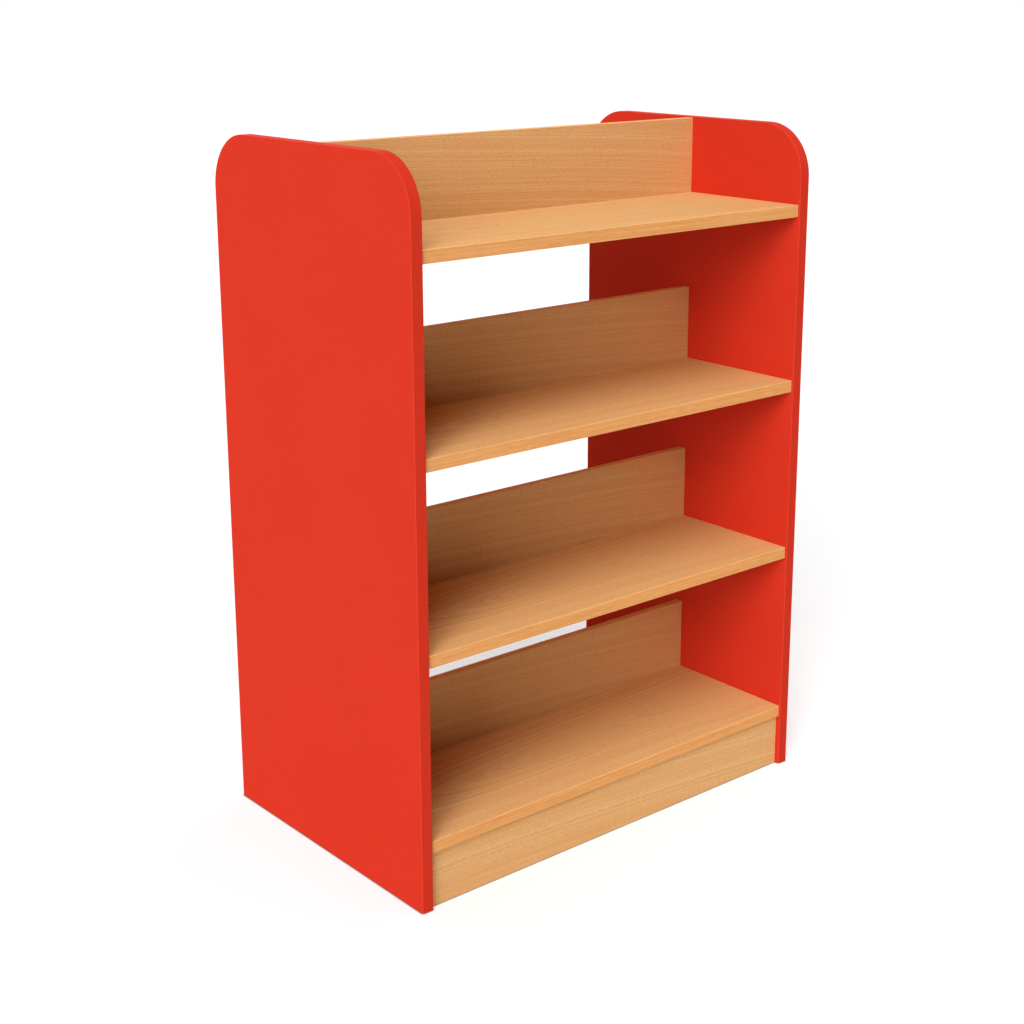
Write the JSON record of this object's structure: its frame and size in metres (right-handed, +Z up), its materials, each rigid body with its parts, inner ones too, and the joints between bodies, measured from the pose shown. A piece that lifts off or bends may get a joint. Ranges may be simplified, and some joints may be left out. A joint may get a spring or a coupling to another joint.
{
  "type": "double sided library shelving",
  "caption": "Free-standing double sided bookcase: red end panels with rounded top corners carry full-depth beech shelves, each with a low divider along its middle, above a plinth.",
  "frame": {"origin": "on the floor, under the middle of the unit", "axes": "+X along the shelves, +Y from the pictured front to the rear, +Z up"},
  "size_m": [0.9, 0.57, 1.25],
  "materials": {
    "red_melamine": "satin red melamine on chipboard",
    "red_edging": "satin red ABS edging",
    "beech_melamine": "satin beech-effect melamine on chipboard",
    "beech_edging": "satin beech-effect ABS edging",
    "dowel_beech": "bare fluted beech"
  },
  "bodies": {
    "root": {"left_end_panel": "red_melamine", "right_end_panel": "red_melamine", "left_end_edging": "red_edging", "right_end_edging": "red_edging", "shelf_1": "beech_melamine", "shelf_2": "beech_melamine", "shelf_3": "beech_melamine", "shelf_4": "beech_melamine", "divider_1": "beech_melamine", "divider_2": "beech_melamine", "divider_3": "beech_melamine", "divider_4": "beech_melamine", "front_plinth": "beech_melamine", "rear_plinth": "beech_melamine", "shelf_1_front_edging": "beech_edging", "shelf_1_rear_edging": "beech_edging", "shelf_2_front_edging": "beech_edging", "shelf_2_rear_edging": "beech_edging", "shelf_3_front_edging": "beech_edging", "shelf_3_rear_edging": "beech_edging", "shelf_4_front_edging": "beech_edging", "shelf_4_rear_edging": "beech_edging", "divider_1_top_edging": "beech_edging", "divider_2_top_edging": "beech_edging", "divider_3_top_edging": "beech_edging", "divider_4_top_edging": "beech_edging", "shelf_1_left_dowel_1": "dowel_beech", "shelf_1_left_dowel_2": "dowel_beech", "shelf_1_right_dowel_1": "dowel_beech", "shelf_1_right_dowel_2": "dowel_beech", "shelf_2_left_dowel_1": "dowel_beech", "shelf_2_left_dowel_2": "dowel_beech", "shelf_2_right_dowel_1": "dowel_beech", "shelf_2_right_dowel_2": "dowel_beech", "shelf_3_left_dowel_1": "dowel_beech", "shelf_3_left_dowel_2": "dowel_beech", "shelf_3_right_dowel_1": "dowel_beech", "shelf_3_right_dowel_2": "dowel_beech", "shelf_4_left_dowel_1": "dowel_beech", "shelf_4_left_dowel_2": "dowel_beech", "shelf_4_right_dowel_1": "dowel_beech", "shelf_4_right_dowel_2": "dowel_beech", "divider_1_left_dowel_1": "dowel_beech", "divider_1_right_dowel_1": "dowel_beech", "divider_2_left_dowel_1": "dowel_beech", "divider_2_right_dowel_1": "dowel_beech", "divider_3_left_dowel_1": "dowel_beech", "divider_3_right_dowel_1": "dowel_beech", "divider_4_left_dowel_1": "dowel_beech", "divider_4_right_dowel_1": "dowel_beech", "front_plinth_left_dowel_1": "dowel_beech", "front_plinth_left_dowel_2": "dowel_beech", "front_plinth_right_dowel_1": "dowel_beech", "front_plinth_right_dowel_2": "dowel_beech", "rear_plinth_left_dowel_1": "dowel_beech", "rear_plinth_left_dowel_2": "dowel_beech", "rear_plinth_right_dowel_1": "dowel_beech", "rear_plinth_right_dowel_2": "dowel_beech"}
  },
  "joints": []
}
